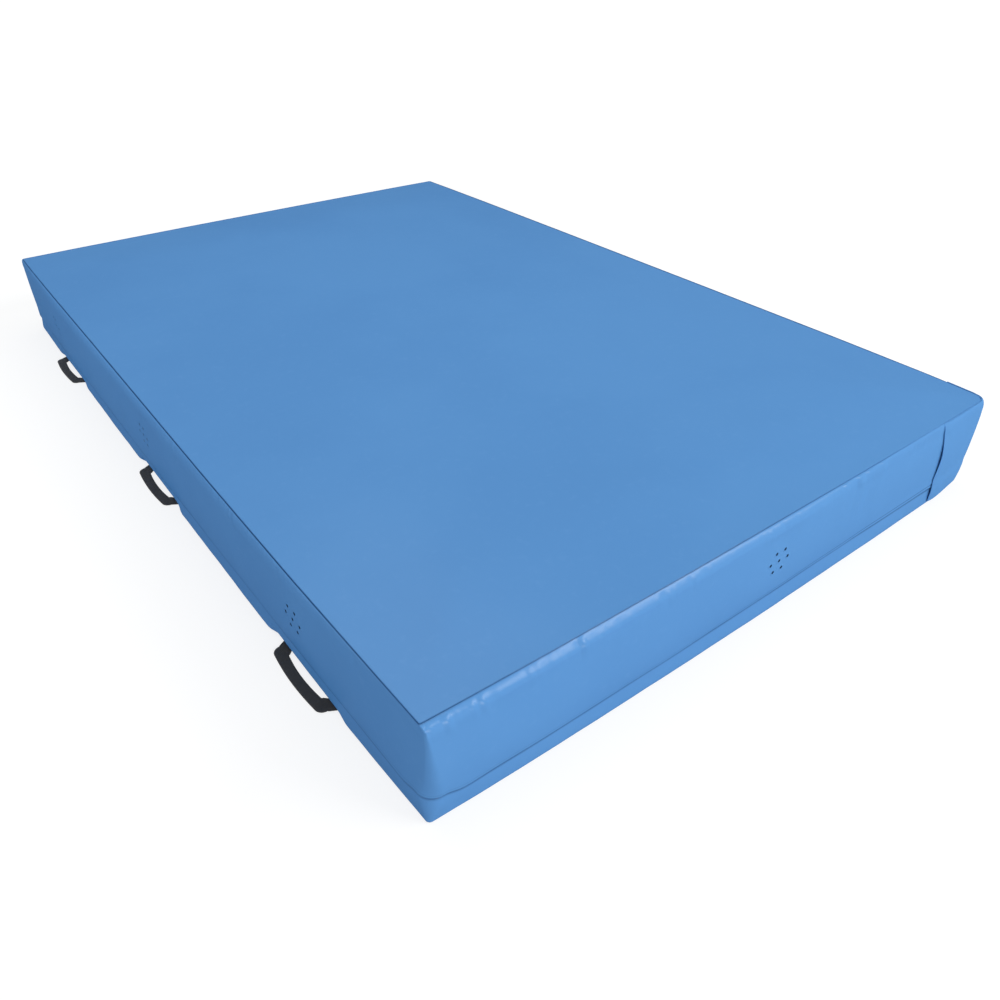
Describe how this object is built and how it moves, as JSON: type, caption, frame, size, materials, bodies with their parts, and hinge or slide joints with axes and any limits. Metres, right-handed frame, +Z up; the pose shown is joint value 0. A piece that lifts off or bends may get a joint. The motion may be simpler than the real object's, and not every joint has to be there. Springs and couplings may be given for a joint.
{
  "type": "soft landing mat",
  "caption": "Rectangular soft landing mat: a foam block in a zipped, coated-fabric cover with vent holes, webbing carrying loops along the long sides and a flap over the zip's end.",
  "frame": {"origin": "middle of the underside, on the floor", "axes": "+Y along the long sides, from the front with the flap to the rear; +X along the short sides; +Z up"},
  "size_m": [2.106, 3.0399, 0.312],
  "materials": {
    "cover_blue": "coated tarpaulin, satin",
    "foam": "open-cell foam, matte",
    "zip_blue": "woven tape",
    "zip_teeth": "moulded, satin",
    "zip_metal": "plated, satin",
    "hook_loop": "hook and loop pile",
    "vent_mesh": "fine net",
    "webbing_black": "woven webbing"
  },
  "bodies": {
    "mat": {"foam_core": "foam", "top_sheet": "cover_blue", "side_band": "cover_blue", "lower_strip": "cover_blue", "base_sheet": "cover_blue", "zip_tape_upper": "zip_blue", "zip_tape_lower": "zip_blue", "zip_teeth_upper": "zip_teeth", "zip_teeth_lower": "zip_teeth", "zip_stop_front": "zip_metal", "zip_stop_rear": "zip_metal", "seam_tape": "zip_blue", "corner_panel": "cover_blue", "fastener_loop_strip": "hook_loop", "vent_mesh_front": "vent_mesh", "vent_mesh_rear": "vent_mesh", "vent_mesh_left_front": "vent_mesh", "vent_mesh_left_middle": "vent_mesh", "vent_mesh_left_rear": "vent_mesh", "vent_mesh_right_front": "vent_mesh", "vent_mesh_right_middle": "vent_mesh", "vent_mesh_right_rear": "vent_mesh", "loop_anchor_left_front": "webbing_black", "loop_anchor_left_middle": "webbing_black", "loop_anchor_left_rear": "webbing_black", "loop_anchor_right_front": "webbing_black", "loop_anchor_right_middle": "webbing_black", "loop_anchor_right_rear": "webbing_black"},
    "flap": {"corner_flap": "cover_blue", "fastener_hook_strip": "hook_loop"},
    "slider": {"zip_slider": "zip_metal"},
    "pull_tab": {"zip_pull": "zip_metal"},
    "loop_left_front": {"carry_loop_left_front": "webbing_black"},
    "loop_left_middle": {"carry_loop_left_middle": "webbing_black"},
    "loop_left_rear": {"carry_loop_left_rear": "webbing_black"},
    "loop_right_front": {"carry_loop_right_front": "webbing_black"},
    "loop_right_middle": {"carry_loop_right_middle": "webbing_black"},
    "loop_right_rear": {"carry_loop_right_rear": "webbing_black"}
  },
  "joints": [
    {"name": "flap_hinge", "type": "hinge", "parent": "mat", "child": "flap", "pos_m": [0.98, -1.51685, 0.15], "axis": [0, 0, 1], "range_deg": [0, 120]},
    {"name": "slider_travel", "type": "slide", "parent": "mat", "child": "slider", "axis": [-1, 0, 0], "range_m": [0, 1.88]},
    {"name": "pull_swing", "type": "hinge", "parent": "slider", "child": "pull_tab", "pos_m": [0.924, -1.504, 0.0804], "axis": [0, 1, 0], "range_deg": [-85, 85]},
    {"name": "loop_left_front_hinge", "type": "hinge", "parent": "mat", "child": "loop_left_front", "pos_m": [-1.007, -1, 0.0025], "axis": [0, 1, 0], "range_deg": [0, 65]},
    {"name": "loop_left_middle_hinge", "type": "hinge", "parent": "mat", "child": "loop_left_middle", "pos_m": [-1.007, 0, 0.0025], "axis": [0, 1, 0], "range_deg": [0, 65]},
    {"name": "loop_left_rear_hinge", "type": "hinge", "parent": "mat", "child": "loop_left_rear", "pos_m": [-1.007, 1, 0.0025], "axis": [0, 1, 0], "range_deg": [0, 65]},
    {"name": "loop_right_front_hinge", "type": "hinge", "parent": "mat", "child": "loop_right_front", "pos_m": [1.007, -1, 0.0025], "axis": [0, -1, 0], "range_deg": [0, 65]},
    {"name": "loop_right_middle_hinge", "type": "hinge", "parent": "mat", "child": "loop_right_middle", "pos_m": [1.007, 0, 0.0025], "axis": [0, -1, 0], "range_deg": [0, 65]},
    {"name": "loop_right_rear_hinge", "type": "hinge", "parent": "mat", "child": "loop_right_rear", "pos_m": [1.007, 1, 0.0025], "axis": [0, -1, 0], "range_deg": [0, 65]}
  ]
}
